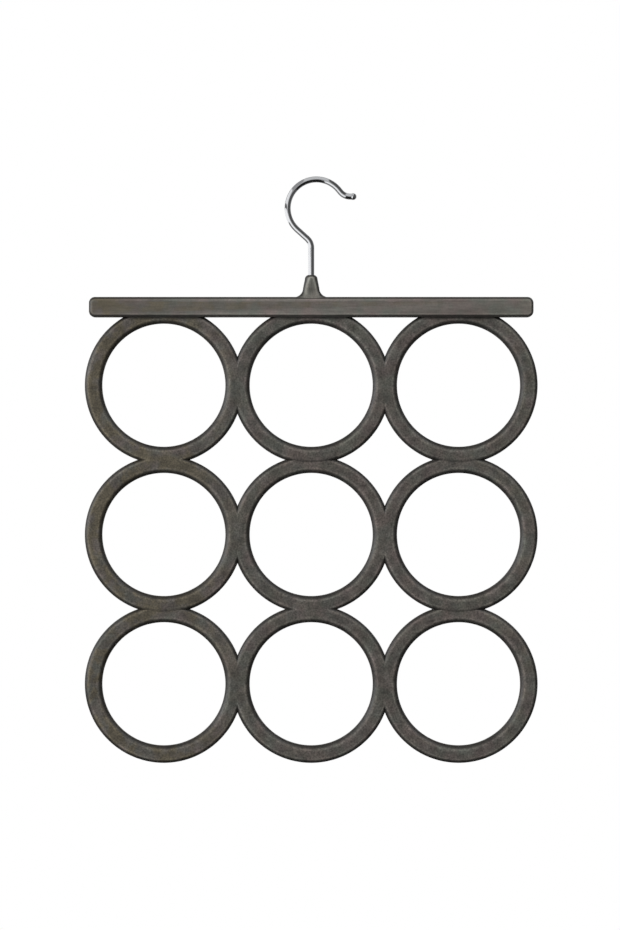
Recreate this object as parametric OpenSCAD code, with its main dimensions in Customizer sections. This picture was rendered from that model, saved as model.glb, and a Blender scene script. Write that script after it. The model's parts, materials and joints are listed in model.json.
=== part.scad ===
// Scarf hanger: a swivel wire hook, a hollow bar with a neck on it, and nine
// rings in three rows of three. Millimetres, +Z up, the front faces -Y.
// The origin is the spot inside the hook's crown that rests on the rod.

/* [Rings] */
// Diameter of the hole in a ring
ring_bore = 82; // [60:1:92]
// Width of a ring's band, seen from the front
ring_band = 11.7; // [11:0.1:15]
// Thickness of a ring from front to back
ring_d = 7; // [6:0.5:9]
// Rounding along a ring's edges
ring_edge = 2.2; // [1:0.1:2.6]
// How much the outlines of two rings side by side share
row_lap = 7.2; // [5:0.1:8]
// How much the outlines of a ring and the one below it share
column_lap = 5.9; // [4:0.1:6.5]

/* [Bar] */
// Height of the bar
bar_h = 13.4; // [12.4:0.1:16]
// How far each end of the bar stays short of the rings' outer edge
bar_inset = 2.9; // [0:0.1:8]
// Radius of the bar's corners, seen from the front
bar_corner = 4; // [2:0.1:5]
// Rounding along the bar's edges
bar_edge = 1.6; // [0.6:0.1:1.8]
// Thickness of the bar's walls in front of and behind the ring tops
cheek = 2.4; // [2:0.1:3.5]
// Thickness of the walls around the bar's hollows
bar_wall = 2; // [1.4:0.1:2.6]
// Diameter of the posts that locate the two shells
post_d = 3; // [2:0.1:4]
// Length of a post beyond the joint of the shells
post_len = 2.8; // [1.5:0.1:3.4]

/* [Neck] */
// Height of the neck above the bar
neck_h = 14.9; // [10:0.1:22]
// Width of the neck under its rounded top
neck_top_w = 8.5; // [8:0.1:10]
// Width of the neck above its flare
neck_waist_w = 10.9; // [10.2:0.1:12]
// Radius of the flare where the neck meets the bar
neck_flare = 6; // [3:0.1:7]
// Rounding of the neck's top
neck_round = 3; // [1:0.1:3.2]

/* [Hook] */
// Diameter of the hook's wire
wire_d = 4; // [3.4:0.1:4.4]
// Inner diameter of the crook
crook_d = 34.4; // [30:0.2:44]
// Distance of the crook's centre from the stem, sideways
crook_shift = 3.5; // [0:0.1:6]
// Slope of the wire where it leaves the crook towards the stem
stem_slope = 42; // [30:1:50]
// Slope of the wire where it leaves the crook towards the tip
tip_slope = 50; // [30:1:60]
// Radius of the reverse bends, to the middle of the wire
bend_r = 8.4; // [6:0.1:10]
// Length of the straight between the crook and the tip's bend
tip_run = 2.1; // [0.5:0.1:6]
// Length of the level wire between the tip's bend and its bead
tip_len = 0.7; // [0.2:0.1:4]
// Diameter of the bead that the tip ends in
tip_bead_d = 4.5; // [4.4:0.1:6]
// Length of straight stem that shows above the neck
stem_show = 18; // [8:0.5:30]

/* [Swivel] */
// Running clearance around the stem in its bush, per side
run_gap = 0.05; // [0.03:0.01:0.08]
// Wall of the bush
bush_wall = 1; // [0.8:0.1:1.1]
// Width of the bush's flange around its sleeve
flange_lip = 0.9; // [0.6:0.1:1]
// Thickness of the bush's flange
flange_t = 0.6; // [0.5:0.1:0.8]
// Thickness of the thrust washer
washer_t = 0.6; // [0.5:0.1:0.8]
// Width of the lip that the stem's head has around the wire
head_lip = 1.8; // [1.2:0.1:2]
// Thickness of the stem's head
head_t = 1.6; // [1.2:0.1:2]
// Thickness of the neck's wall around the bush, inside the bar
spigot_wall = 1; // [0.8:0.1:1]
// Width of the neck's foot around its spigot, inside the bar
foot_lip = 0.8; // [0.6:0.1:0.9]
// Thickness of the neck's foot
foot_t = 0.9; // [0.6:0.1:1.2]
// Thickness of the bar's wall over the neck's foot
roof_t = 0.7; // [0.5:0.1:1.2]
// Thickness of the web between the swivel's pocket and the ring below it
web_t = 1.1; // [0.8:0.1:2]

/* [Dowels and pins] */
// Diameter of the dowels in the ring joints
dowel_d = 3; // [2:0.1:3.4]
// Plastic left between the foot of a dowel's hole and the ring's hole
dowel_cover = 1.8; // [1.2:0.1:2.4]
// Diameter of the cross pins in the top rings
pin_d = 3; // [2:0.1:3.4]
// How deep a cross pin sits in each wall of the bar
pin_grip = 1.2; // [0.8:0.1:1.4]

/* [Clearances] */
// Clearance around a piece that is seated in another
seat_gap = 0.1; // [0.05:0.01:0.15]
// Clearance around a dowel, pin or post in its hole, per side
hole_gap = 0.05; // [0.02:0.01:0.1]
// Clearance beyond the foot of a dowel, pin or post
foot_gap = 0.3; // [0.1:0.05:0.4]
// Clearance around the stem where it leaves the neck
exit_gap = 0.3; // [0.3:0.05:0.6]
// Clearance between the stem's head and what lies around it
turn_gap = 0.4; // [0.3:0.05:0.5]
// Clearance between the stem's head and the thrust washer
thrust_gap = 0.1; // [0.05:0.01:0.2]

/* [Hidden] */

// Colours of the finishes
nap_grey = [0.33, 0.31, 0.29];
bright_chrome = [0.80, 0.81, 0.83];
pale_nylon = [0.88, 0.87, 0.82];
plain_steel = [0.62, 0.63, 0.65];

// Facets that the preview gives to large, middling and small rounds
big_round = 144;
mid_round = 48;
small_round = 32;
// Overshoot of a cut past the face that it opens
past = 1;
// Sides of the swept wire, and degrees of bend between its sections
wire_sides = 16;
bend_step = 6;
// How far the swept wire reaches into the top of the stem, and how much
// thinner than the stem it is
let_in = 1;
let_in_gap = 0.01;

// Columns and rows of the grid, counted from the middle column and the top row
MIDDLE = 0;
LEFT = MIDDLE - 1;
RIGHT = MIDDLE + 1;
TOP = 0;
CENTRE = TOP + 1;
BOTTOM = CENTRE + 1;
COLUMNS = [LEFT, MIDDLE, RIGHT];
ROWS = [TOP, CENTRE, BOTTOM];
FRONT = 0;
REAR = 1;
// Directions in degrees above +X, and the turn from the direction of a point
// on a bend to the wire's heading there
AHEAD = 0;
UP = 90;
BACK = 180;
DOWN = 270;
CLOCKWISE = -90;
ANTICLOCKWISE = 90;

// Rings
bore_r = ring_bore / 2;
ring_r = bore_r + ring_band;
pitch_x = 2 * ring_r - row_lap;
pitch_z = 2 * ring_r - column_lap;

// Swivel
wire_r = wire_d / 2;
bush_r = wire_r + run_gap + bush_wall;
bush_seat_r = bush_r + hole_gap;
flange_r = bush_r + flange_lip;
head_r = wire_r + head_lip;
washer_r = head_r + turn_gap;
washer_bore_r = wire_r + turn_gap;
spigot_r = bush_seat_r + spigot_wall;
foot_r = spigot_r + foot_lip;
pocket_r = foot_r + seat_gap;
swivel_depth = roof_t + foot_t + flange_t + washer_t + thrust_gap + head_t + turn_gap;

// Bar
bar_d = ring_d + 2 * (seat_gap + cheek);
bar_w = 2 * (pitch_x + ring_r - bar_inset);
ring_tuck = bar_h - swivel_depth - web_t;
socket_r = ring_r + seat_gap;
socket_half_d = ring_d / 2 + seat_gap;
// Half the width of a ring's socket at the bar's lower edge
socket_half_w = sqrt(pow(socket_r, 2) - pow(ring_r - ring_tuck, 2));
boss_d = post_d + 2 * bar_wall;
// Where the bosses with the posts stand, sideways
inner_post_x = pitch_x / 2;
outer_post_x = (pitch_x + socket_half_w + bar_w / 2) / 2;

// Hook
crook_r = (crook_d + wire_d) / 2;
stem_x = -crook_shift;
crook_z = -crook_d / 2;
// Where the wire leaves the crook towards the stem
crook_end = [-crook_r * sin(stem_slope), crook_z - crook_r * cos(stem_slope)];
stem_bend_w = bend_r * (1 - sin(stem_slope));
stem_run = (stem_x - stem_bend_w - crook_end[0]) / cos(stem_slope);
stem_top_z = crook_end[1] - stem_run * sin(stem_slope) - bend_r * cos(stem_slope);
tip_start = [crook_r * sin(tip_slope), crook_z + crook_r * cos(tip_slope)];
tip_centre = tip_start + tip_run * [cos(tip_slope), -sin(tip_slope)]
    + bend_r * [sin(tip_slope), cos(tip_slope)];
swept_r = wire_r - let_in_gap;
bead_r = tip_bead_d / 2;
bead_len = tip_bead_d - wire_r / 2;
bead_steps = 5;
tip_end = tip_centre + [tip_len + bead_len, -bend_r];

// Sections of the wire from its tip to its stem, each with x, z, the radius
// and the heading in degrees above +X
function bend(centre, r, from, to, turn) = let (n = ceil(abs(to - from) / bend_step))
    [for (i = [0 : n]) let (a = from + (to - from) * i / n)
        [centre[0] + r * cos(a), centre[1] + r * sin(a), swept_r, a + turn]];
wire_path = concat(
    [for (i = [1 : bead_steps]) let (a = 90 * i / bead_steps)
        [tip_end[0] - bead_r * (1 - cos(a)), tip_end[1], bead_r * sin(a), BACK]],
    [[tip_end[0] - bead_len, tip_end[1], swept_r, BACK]],
    bend(tip_centre, bend_r, DOWN, DOWN - tip_slope, CLOCKWISE),
    bend([0, crook_z], crook_r, UP - tip_slope, DOWN - stem_slope, ANTICLOCKWISE),
    bend([stem_x - bend_r, stem_top_z], bend_r, UP - stem_slope, AHEAD, CLOCKWISE),
    [[stem_x, stem_top_z - let_in, swept_r, DOWN]]
);

// Heights
neck_top_z = stem_top_z - stem_show;
bar_top_z = neck_top_z - neck_h;
bar_foot_z = bar_top_z - bar_h;
foot_top_z = bar_top_z - roof_t;
flange_top_z = foot_top_z - foot_t;
washer_top_z = flange_top_z - flange_t;
head_top_z = washer_top_z - washer_t - thrust_gap;
pocket_foot_z = bar_top_z - swivel_depth;
bush_top_z = neck_top_z - neck_round;
top_row_z = bar_foot_z - ring_r + ring_tuck;
pin_z = top_row_z + ring_r - ring_tuck / 2;

// Dowels, which have one size in both kinds of joint, and pins. The dowel's
// depth is how far it goes below the notch of the lower ring
dowel_len = 2 * (ring_band - row_lap / 2 - dowel_cover - foot_gap);
dowel_depth = ring_band - column_lap - dowel_cover - foot_gap;
pin_len = 2 * (socket_half_d + pin_grip);

function ring_x(column) = stem_x + column * pitch_x;
function ring_z(row) = top_row_z - row * pitch_z;

// Height over the bar at which the flare's thin edge is cut off
flare_lip = 0.2;
// Sections of the neck's flare, taper and rounded top, and sides of each
flare_steps = 8;
taper_steps = 4;
dome_steps = 8;
neck_sides = 40;

// Half the neck's width at height t over the bar: flare, taper, rounded top
function taper(t) = let (share = (t - neck_flare) / (neck_h - neck_round - neck_flare))
    (neck_waist_w + min(max(share, 0), 1) * (neck_top_w - neck_waist_w)) / 2;
function flare(t) = t >= neck_flare ? 0
    : neck_flare - sqrt(pow(neck_flare, 2) - pow(neck_flare - max(t, flare_lip), 2));
function shoulder(t) = let (up = t - (neck_h - neck_round))
    up <= 0 ? 0 : neck_round - sqrt(max(pow(neck_round, 2) - pow(up, 2), 0));
function neck_half_w(t) = taper(t) + flare(t) - shoulder(t);

// Half the neck's depth at height t: round at the top, as deep as the bar's
// flat upper face at the bottom
neck_base_half_d = bar_d / 2 - bar_edge;
function neck_half_d(t) = let (share = min(max(t / (neck_h - neck_round), 0), 1))
    neck_base_half_d + share * (neck_top_w / 2 - neck_base_half_d) - shoulder(t);

// Heights of the sections that the neck is lofted through
neck_levels = concat(
    [0],
    [for (i = [0 : flare_steps]) flare_lip + (neck_flare - flare_lip) * (1 - cos(90 * i / flare_steps))],
    [for (i = [1 : taper_steps])
        neck_flare + (neck_h - neck_round - neck_flare) * i / taper_steps],
    [for (i = [1 : dome_steps]) neck_h - neck_round + neck_round * sin(90 * i / dome_steps)]
);

// A rectangle with all four corners rounded
module round_rect(x0, x1, y0, y1, r) {
    translate([x0 + r, y0]) square([x1 - x0 - 2 * r, y1 - y0]);
    translate([x0, y0 + r]) square([x1 - x0, y1 - y0 - 2 * r]);
    for (x = [x0 + r, x1 - r], y = [y0 + r, y1 - r])
        translate([x, y]) circle(r, $fn = small_round);
}

// A rectangle from the Y axis to x = w, with the far corner rounded
module one_round_corner(w, h, r) {
    square([w - r, h]);
    square([w, h - r]);
    translate([w - r, h - r]) circle(r, $fn = small_round);
}

// A cylinder along Y, with its middle at y = 0
module across(r, len, facets) {
    rotate([90, 0, 0]) cylinder(r = r, h = len, center = true, $fn = facets);
}

// Moves its children to a ring's middle
module at_ring(column, row) {
    translate([ring_x(column), 0, ring_z(row)]) children();
}

// A plain ring, before its joints are cut
module ring_blank() {
    rotate([90, 0, 0]) rotate_extrude($fn = big_round)
        round_rect(bore_r, ring_r, -ring_d / 2, ring_d / 2, ring_edge);
}

// Cuts a ring flat against its neighbour on one side
module side_cut(side) {
    mirror([side == LEFT ? 1 : 0, 0, 0])
        translate([pitch_x / 2, -ring_d, -ring_r]) cube([ring_r, 2 * ring_d, 2 * ring_r]);
}

// One dowel in the joint between two rings side by side; grow widens it
// into its hole
module row_dowel(grow = 0, deeper = 0) {
    rotate([0, 90, 0])
        cylinder(r = dowel_d / 2 + grow, h = dowel_len + 2 * deeper, center = true, $fn = small_round);
}

// One dowel in the joint between a ring and the one above it, seen from the
// middle of the lower ring
module column_dowel(grow = 0, deeper = 0) {
    translate([0, 0, pitch_z - ring_r - dowel_depth - deeper])
        cylinder(r = dowel_d / 2 + grow, h = dowel_len + 2 * deeper, $fn = small_round);
}

// A ring at its place in the grid
module ring(column, row) {
    color(nap_grey) at_ring(column, row) difference() {
        ring_blank();
        for (side = [LEFT, RIGHT]) if (abs(column + side) <= RIGHT) {
            side_cut(side);
            translate([side * pitch_x / 2, 0, 0]) row_dowel(hole_gap, foot_gap);
        }
        if (row == TOP) {
            translate([0, 0, ring_r - ring_tuck / 2]) across(pin_d / 2 + hole_gap, 2 * ring_d, small_round);
        } else {
            translate([0, 0, pitch_z]) across(ring_r + seat_gap, 2 * ring_d, big_round);
            column_dowel(hole_gap, foot_gap);
        }
        if (row != BOTTOM) translate([0, 0, -pitch_z]) column_dowel(hole_gap, foot_gap);
    }
}

// Front half of the bar as a plain solid, from its foot at z = 0
module bar_half() {
    half_d = bar_d / 2;
    straight_w = bar_w - 2 * bar_corner;
    rotate([90, 0, 90]) linear_extrude(straight_w, center = true) {
        translate([-half_d, bar_edge]) square([half_d, bar_h - 2 * bar_edge]);
        translate([-half_d + bar_edge, 0]) square([half_d - bar_edge, bar_h]);
        for (y = [bar_edge, bar_h - bar_edge])
            translate([-half_d + bar_edge, y]) circle(bar_edge, $fn = small_round);
    }
    for (s = [0, 1]) mirror([s, 0, 0]) translate([straight_w / 2, 0, 0]) {
        for (m = [0, 1]) translate([0, 0, m * bar_h]) mirror([0, 0, m])
            translate([0, 0, bar_corner]) rotate([90, 0, 0])
                rotate_extrude(angle = 90, start = -90, $fn = mid_round)
                    one_round_corner(bar_corner, half_d, bar_edge);
        translate([0, 0, bar_corner]) linear_extrude(bar_h - 2 * bar_corner)
            mirror([0, 1]) one_round_corner(bar_corner, half_d, bar_edge);
    }
}

// The neck's outside, lofted through its sections
module neck_form() {
    row_n = neck_sides;
    top_n = len(neck_levels);
    points = [for (t = neck_levels, i = [0 : row_n - 1]) let (a = 360 * i / row_n)
        [neck_half_w(t) * cos(a), neck_half_d(t) * sin(a), t]];
    sides = [for (k = [0 : top_n - 2], i = [0 : row_n - 1])
        let (p = k * row_n + i, q = k * row_n + (i + 1) % row_n) [p + row_n, q + row_n, q, p]];
    base = [[for (i = [0 : row_n - 1]) i]];
    lid = [[for (i = [row_n - 1 : -1 : 0]) (top_n - 1) * row_n + i]];
    polyhedron(points, concat(sides, base, lid));
}

// The neck: it stands on the bar, and its spigot and foot are held inside
module neck() {
    color(nap_grey) translate([stem_x, 0, bar_top_z]) difference() {
        union() {
            neck_form();
            translate([0, 0, -roof_t - foot_t])
                cylinder(r = spigot_r, h = roof_t + foot_t + past, $fn = mid_round);
            translate([0, 0, -roof_t - foot_t]) cylinder(r = foot_r, h = foot_t, $fn = mid_round);
        }
        // Seat of the bush and the stem's way out
        translate([0, 0, -roof_t - foot_t - past])
            cylinder(r = bush_seat_r, h = bush_top_z + seat_gap - flange_top_z + past, $fn = mid_round);
        cylinder(r = wire_r + exit_gap, h = neck_h + past, $fn = mid_round);
    }
}

// Hollow between x = x0 and x = x1, open at the joint of the shells
module hollow(x0, x1) {
    translate([x0, -bar_d / 2 + bar_wall, bar_wall])
        cube([x1 - x0, bar_d / 2 - bar_wall + past, bar_h - 2 * bar_wall]);
}

// Places its children at the four bosses
module at_bosses() {
    for (x = [-outer_post_x, -inner_post_x, inner_post_x, outer_post_x])
        translate([x, 0, bar_h / 2]) children();
}

// One shell of the bar; the rear one is the front one mirrored, with holes
// where the front one has posts
module bar_shell(side) {
    color(nap_grey) translate([stem_x, 0, bar_foot_z]) mirror([0, side, 0]) {
        difference() {
            bar_half();
            // Hollows between the ring sockets and at the bar's ends
            difference() {
                for (s = [0, 1]) mirror([s, 0, 0]) {
                    hollow(socket_half_w + bar_wall, pitch_x - socket_half_w - bar_wall);
                    hollow(pitch_x + socket_half_w + bar_wall, bar_w / 2 - bar_wall);
                }
                at_bosses() across(boss_d / 2, bar_d, small_round);
            }
            for (column = COLUMNS) translate([column * pitch_x, 0, top_row_z - bar_foot_z]) {
                across(socket_r, 2 * socket_half_d, big_round);
                translate([0, 0, pin_z - top_row_z])
                    across(pin_d / 2 + hole_gap, pin_len + 2 * foot_gap, small_round);
            }
            if (side == REAR) at_bosses()
                across(post_d / 2 + hole_gap, 2 * (post_len + foot_gap), small_round);
            // Pocket of the swivel, and the way in for the neck's spigot
            translate([0, 0, pocket_foot_z - bar_foot_z])
                cylinder(r = pocket_r, h = foot_top_z - pocket_foot_z, $fn = mid_round);
            translate([0, 0, foot_top_z - bar_foot_z - past])
                cylinder(r = spigot_r + seat_gap, h = roof_t + 2 * past, $fn = mid_round);
        }
        if (side == FRONT) at_bosses()
            rotate([-90, 0, 0]) cylinder(d = post_d, h = post_len, $fn = small_round);
    }
}

module bar_front_shell() {
    bar_shell(FRONT);
}

module bar_rear_shell() {
    bar_shell(REAR);
}

// Flanged sleeve that the stem turns in
module neck_bush() {
    color(pale_nylon) translate([stem_x, 0, washer_top_z]) difference() {
        union() {
            cylinder(r = flange_r, h = flange_t, $fn = mid_round);
            cylinder(r = bush_r, h = bush_top_z - washer_top_z, $fn = mid_round);
        }
        translate([0, 0, -past])
            cylinder(r = wire_r + run_gap, h = bush_top_z - washer_top_z + 2 * past, $fn = mid_round);
    }
}

// The wire above its stem: one round section carried along the bends
module swept_wire() {
    row_n = wire_sides;
    end = len(wire_path) - 1;
    points = [for (p = wire_path, i = [0 : row_n - 1]) let (b = 360 * i / row_n, side = p[2] * cos(b))
        [p[0] - side * sin(p[3]), p[2] * sin(b), p[1] + side * cos(p[3])]];
    sides = [for (k = [0 : end - 1], i = [0 : row_n - 1])
        let (p = k * row_n + i, q = k * row_n + (i + 1) % row_n) [p, q, q + row_n, p + row_n]];
    tip = [[for (i = [row_n - 1 : -1 : 0]) i]];
    foot = [[for (i = [0 : row_n - 1]) end * row_n + i]];
    polyhedron(points, concat(sides, tip, foot));
}

// Washer between the stem's head and the bush's flange
module thrust_washer() {
    color(plain_steel) translate([stem_x, 0, washer_top_z - washer_t]) difference() {
        cylinder(r = washer_r, h = washer_t, $fn = mid_round);
        translate([0, 0, -past]) cylinder(r = washer_bore_r, h = washer_t + 2 * past, $fn = mid_round);
    }
}

// The bent wire: tip, crook, S-bend, stem and head
module hook_wire() {
    color(bright_chrome) {
        swept_wire();
        translate([stem_x, 0, head_top_z]) cylinder(r = wire_r, h = stem_top_z - head_top_z, $fn = mid_round);
        translate([stem_x, 0, head_top_z - head_t]) cylinder(r = head_r, h = head_t, $fn = mid_round);
    }
}

// The six dowels of the joints between rings side by side
module row_dowels() {
    color(plain_steel) for (row = ROWS, side = [LEFT, RIGHT])
        translate([stem_x + side * pitch_x / 2, 0, ring_z(row)]) row_dowel();
}

// The six dowels of the joints between rings one above the other
module column_dowels() {
    color(plain_steel) for (column = COLUMNS, row = [CENTRE, BOTTOM])
        at_ring(column, row) column_dowel();
}

// The three cross pins that hold the top rings in the bar
module ring_pins() {
    color(plain_steel) for (column = COLUMNS)
        translate([ring_x(column), 0, pin_z]) across(pin_d / 2, pin_len, small_round);
}

hook_wire();
thrust_washer();
neck_bush();
neck();
bar_front_shell();
bar_rear_shell();
ring(LEFT, TOP);  // ring_top_left
ring(MIDDLE, TOP);  // ring_top_middle
ring(RIGHT, TOP);  // ring_top_right
ring(LEFT, CENTRE);  // ring_centre_left
ring(MIDDLE, CENTRE);  // ring_centre_middle
ring(RIGHT, CENTRE);  // ring_centre_right
ring(LEFT, BOTTOM);  // ring_bottom_left
ring(MIDDLE, BOTTOM);  // ring_bottom_middle
ring(RIGHT, BOTTOM);  // ring_bottom_right
row_dowels();
column_dowels();
ring_pins();
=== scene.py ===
"""Looks of the scarf hanger: flocked bar, neck and rings, and a chromed swivel hook."""

import json
import logging
import math
from collections.abc import Callable
from dataclasses import dataclass, field
from enum import Enum

import bmesh
import bpy
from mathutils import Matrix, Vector


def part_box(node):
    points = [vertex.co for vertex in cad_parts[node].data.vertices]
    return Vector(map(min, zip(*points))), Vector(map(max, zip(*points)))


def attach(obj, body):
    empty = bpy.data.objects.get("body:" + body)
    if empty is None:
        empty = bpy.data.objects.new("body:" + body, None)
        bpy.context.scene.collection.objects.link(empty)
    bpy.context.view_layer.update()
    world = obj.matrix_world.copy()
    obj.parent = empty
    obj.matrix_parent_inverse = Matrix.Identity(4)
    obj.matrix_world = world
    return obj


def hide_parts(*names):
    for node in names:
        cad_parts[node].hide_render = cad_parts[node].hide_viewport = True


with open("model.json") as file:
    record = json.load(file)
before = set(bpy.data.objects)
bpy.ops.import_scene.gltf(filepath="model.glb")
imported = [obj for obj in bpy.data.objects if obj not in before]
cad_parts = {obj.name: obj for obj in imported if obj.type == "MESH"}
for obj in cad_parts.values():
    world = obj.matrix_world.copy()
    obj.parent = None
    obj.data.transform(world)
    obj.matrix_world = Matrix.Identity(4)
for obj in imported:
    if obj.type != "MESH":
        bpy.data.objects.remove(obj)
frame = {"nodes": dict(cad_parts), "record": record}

LOG = logging.getLogger("scarf_hanger")
MM = 0.001
FIXED_BODY = "hook"
HANGER_BODY = "hanger"
NAP_SLOT = "nap_grey"

Point = tuple[float, float, float]
Colour = tuple[float, float, float]
Range = tuple[float, float]
Stops = tuple[tuple[float, float], ...]
Socket = bpy.types.NodeSocket
Feed = Socket | float | Point

NYLON: Colour = (0.75, 0.74, 0.68)
STEEL: Colour = (0.45, 0.46, 0.48)
DARK_PLASTIC: Colour = (0.30, 0.29, 0.28)


class Column(Enum):
    """A column of the grid, counted from the middle one."""

    LEFT = -1
    MIDDLE = 0
    RIGHT = 1


class Row(Enum):
    """A row of the grid, counted from the top."""

    TOP = 0
    CENTRE = 1
    BOTTOM = 2


class Brushing(Enum):
    """The way in which the nap of a piece is brushed."""

    ROUND = "round"
    ALONG = "along"
    UPRIGHT = "upright"


class Side(Enum):
    """The side of the bar that a shell is on, as the sign of its Y."""

    FRONT = -1
    REAR = 1


@dataclass(frozen=True)
class NodeBox:
    """Lowest and highest corner of a node of the frame."""

    low: Vector
    high: Vector

    @classmethod
    def of(cls, node: str) -> "NodeBox":
        """Reads the box of the node with this name from the frame."""
        low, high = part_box(node)
        return cls(low, high)

    @property
    def middle(self) -> Vector:
        """Middle of the box."""
        return (self.low + self.high) / 2

    @property
    def span(self) -> Vector:
        """Lengths of the box along X, Y and Z."""
        return self.high - self.low


def spread(start: float, end: float, steps: int) -> list[float]:
    """Spreads values evenly between two ends.

    Args:
        start: First value.
        end: Last value.
        steps: Number of steps between them.

    Returns:
        The values, both ends included.
    """
    return [start + (end - start) * i / steps for i in range(steps + 1)]


def arc(start: float, end: float, steps: int) -> list[float]:
    """Spreads angles evenly over an arc.

    Args:
        start: First angle, in degrees.
        end: Last angle, in degrees.
        steps: Number of steps between them.

    Returns:
        The angles in radians, both ends included.
    """
    return [math.radians(angle) for angle in spread(start, end, steps)]


def full_turn(sides: int) -> list[float]:
    """Spreads angles in radians evenly over a full turn, one for each side."""
    return arc(0, 360, sides)[:-1]


def clamped(share: float) -> float:
    """Keeps a share between 0 and 1."""
    return min(max(share, 0), 1)


def fade(distance: float, reach: float) -> float:
    """Falls from 1 where the distance is 0 to 0 at the reach and beyond."""
    return max(1 - distance / reach, 0)


@dataclass
class LoopSkin:
    """A skin of quads over a row of loops that all have as many points.

    Attributes:
        loops: The loops, in order.
        joined: Whether the last loop meets the first one. Otherwise both get a cap.
        weld: Distance within which points are welded, in metres.
    """

    loops: list[list[Point]]
    joined: bool = False
    weld: float = 1e-7

    def mesh(self, name: str) -> bpy.types.Mesh:
        """Builds the mesh of the skin.

        Args:
            name: Name of the mesh.

        Returns:
            The mesh, with doubles welded and the normals outwards.
        """
        count = len(self.loops[0])
        rows = len(self.loops)
        points = [point for loop in self.loops for point in loop]
        faces: list[list[int]] = []
        for row in range(rows if self.joined else rows - 1):
            here = row * count
            there = (row + 1) % rows * count
            for i in range(count):
                j = (i + 1) % count
                faces.append([here + i, here + j, there + j, there + i])
        if not self.joined:
            faces.append(list(range(count - 1, -1, -1)))
            faces.append([(rows - 1) * count + i for i in range(count)])
        mesh = bpy.data.meshes.new(name)
        mesh.from_pydata(points, [], faces)
        tidy_mesh(mesh, self.weld)
        return mesh


def tidy_mesh(mesh: bpy.types.Mesh, weld: float) -> None:
    """Welds doubles, drops faces without area and turns the normals outwards.

    Args:
        mesh: Mesh to tidy, in place.
        weld: Distance within which points are welded, in metres.
    """
    work = bmesh.new()
    work.from_mesh(mesh)
    bmesh.ops.remove_doubles(work, verts=work.verts, dist=weld)
    bmesh.ops.dissolve_degenerate(work, edges=work.edges, dist=weld)
    bmesh.ops.recalc_face_normals(work, faces=work.faces)
    work.to_mesh(mesh)
    work.free()
    mesh.update()


def dress(mesh: bpy.types.Mesh, finish: bpy.types.Material, crease_angle: float) -> None:
    """Shades a mesh smooth, apart from its creases, and gives it its material.

    Args:
        mesh: Mesh to dress.
        finish: Material of the whole mesh.
        crease_angle: Angle between faces above which an edge stays sharp, in degrees.
    """
    mesh.polygons.foreach_set("use_smooth", [True] * len(mesh.polygons))
    mesh.set_sharp_from_angle(angle=math.radians(crease_angle))
    mesh.materials.clear()
    mesh.materials.append(finish)
    mesh.update()


def mark(mesh: bpy.types.Mesh, name: str, value_at: Callable[[Vector], float]) -> None:
    """Gives each point of a mesh its value of a named attribute.

    Args:
        mesh: Mesh to mark.
        name: Name of the attribute, which a material reads.
        value_at: Value at a place on the mesh.
    """
    layer = mesh.attributes.new(name, "FLOAT", "POINT")
    layer.data.foreach_set("value", [value_at(vertex.co) for vertex in mesh.vertices])


def mark_spot(mesh: bpy.types.Mesh, at: Vector) -> None:
    """Tells a mesh where it stands on the hanger, so that the nap runs on from piece to piece.

    Args:
        mesh: Mesh to mark.
        at: Place of its origin, in metres, which a material reads in millimetres.
    """
    layer = mesh.attributes.new("spot", "FLOAT_VECTOR", "POINT")
    layer.data.foreach_set("vector", [part / MM for part in at] * len(mesh.vertices))


def paint_shade(mesh: bpy.types.Mesh, share_at: Callable[[Vector], float]) -> None:
    """Paints shade onto the nap of a mesh in some places.

    Args:
        mesh: Mesh with the attribute tone.
        share_at: Share of the tone that is taken away at a place on the mesh.
    """
    for point, vertex in zip(mesh.attributes["tone"].data, mesh.vertices):
        point.value *= 1 - share_at(vertex.co)


def place(mesh: bpy.types.Mesh, at: Vector) -> bpy.types.Object:
    """Makes the object of a mesh whose points are given from a place of its own.

    Args:
        mesh: Mesh, whose name the object takes.
        at: Place of the object's origin in the frame.

    Returns:
        The object, linked to the scene.
    """
    piece = bpy.data.objects.new(mesh.name, mesh)
    piece.location = at
    bpy.context.scene.collection.objects.link(piece)
    return piece


def hand_over(piece: bpy.types.Object, body: str, slot: str, *nodes: str) -> None:
    """Ties a piece to its body and hides the nodes it stands for.

    Args:
        piece: Piece to tie.
        body: Body that it moves with.
        slot: Material slot of the record; not used.
        nodes: Nodes of the frame that the piece stands for.
    """
    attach(piece, body)
    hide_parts(*nodes)
    LOG.info("%s: %d faces, rides on %s", piece.name, len(piece.data.polygons), body)


def cut(piece: bpy.types.Object, cutters: list[bpy.types.Object]) -> None:
    """Cuts closed shapes out of a piece and deletes them.

    Args:
        piece: Piece that is cut, whose mesh is replaced by the result.
        cutters: Objects that are taken away from it.
    """
    for cutter in cutters:
        step = piece.modifiers.new("cut", "BOOLEAN")
        step.operation = "DIFFERENCE"
        step.solver = "EXACT"
        step.object = cutter
    bpy.context.view_layer.update()
    evaluated = piece.evaluated_get(bpy.context.evaluated_depsgraph_get())
    result = bpy.data.meshes.new_from_object(evaluated)
    old = piece.data
    name = old.name
    piece.modifiers.clear()
    piece.data = result
    bpy.data.meshes.remove(old)
    result.name = name
    for cutter in cutters:
        bpy.data.objects.remove(cutter)


def drum(name: str, at: Vector, radius: float, half_d: float, sides: int) -> bpy.types.Object:
    """Makes a closed drum along Y, which serves as a cutter.

    Args:
        name: Name of the object.
        at: Middle of the drum.
        radius: Radius of the drum.
        half_d: Half of its length.
        sides: Number of its sides.

    Returns:
        The drum.
    """
    loops = [
        [(radius * math.cos(a), y, radius * math.sin(a)) for a in full_turn(sides)]
        for y in (-half_d, half_d)
    ]
    return place(LoopSkin(loops).mesh(name), at)


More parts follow.
